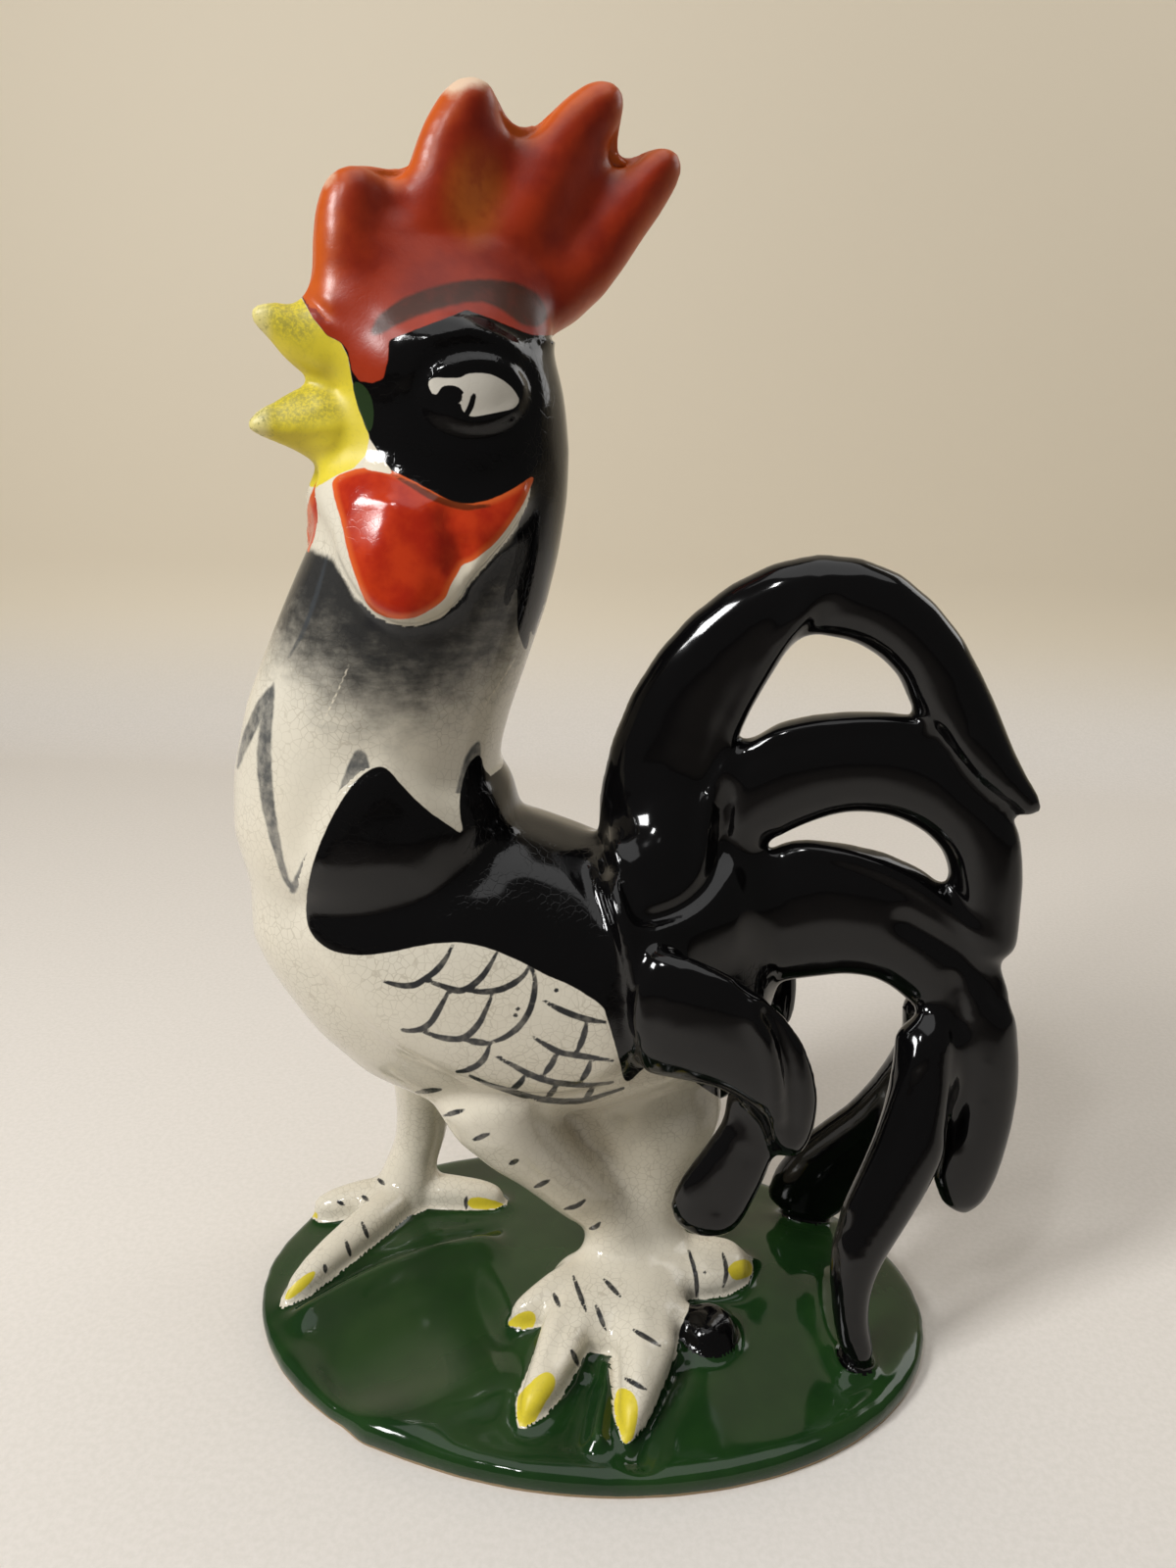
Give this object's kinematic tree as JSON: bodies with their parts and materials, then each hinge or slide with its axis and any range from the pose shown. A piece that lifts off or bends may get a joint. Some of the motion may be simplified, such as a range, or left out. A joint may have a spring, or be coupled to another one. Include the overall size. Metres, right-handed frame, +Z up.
{
  "type": "rooster figurine",
  "caption": "Standing rooster figurine of glazed porcelain: crowing head turned aside, arched open-work tail plumes, striding legs on a domed oval base.",
  "frame": {"origin": "middle of the base's flat underside, on the surface that it stands on", "axes": "+Z up; +X towards the tail, along the base's long axis; the bird faces -X and its left side is -Y"},
  "size_m": [0.1845, 0.1178, 0.2822],
  "materials": {
    "green_glaze": "dark grass-green gloss glaze",
    "black_glaze": "deep black gloss glaze",
    "cream_glaze": "crazed ivory gloss glaze with brushed grey and black decoration",
    "comb_red": "satin red enamel with orange edges",
    "wattle_red": "glossy red-orange enamel",
    "beak_yellow": "satin lemon yellow enamel"
  },
  "bodies": {
    "root": {"base": "green_glaze", "ground_stone": "black_glaze", "foot_left": "cream_glaze", "foot_right": "cream_glaze", "leg_left": "cream_glaze", "leg_right": "cream_glaze", "rump_pillar": "cream_glaze", "torso_shell": "cream_glaze", "neck_shell": "cream_glaze", "head_shell": "black_glaze", "comb": "comb_red", "beak_upper": "beak_yellow", "beak_lower": "beak_yellow", "wattle_left": "wattle_red", "wattle_right": "wattle_red", "wing_left": "black_glaze", "wing_right": "black_glaze", "back_cape": "black_glaze", "tail_root": "black_glaze", "plume_top": "black_glaze", "plume_middle": "black_glaze", "plume_lower": "black_glaze", "plume_standing_left": "black_glaze", "plume_standing_right": "black_glaze", "saddle_feather_left": "black_glaze", "hook_feather_left": "black_glaze", "saddle_feather_right": "black_glaze", "hook_feather_right": "black_glaze"}
  },
  "joints": []
}
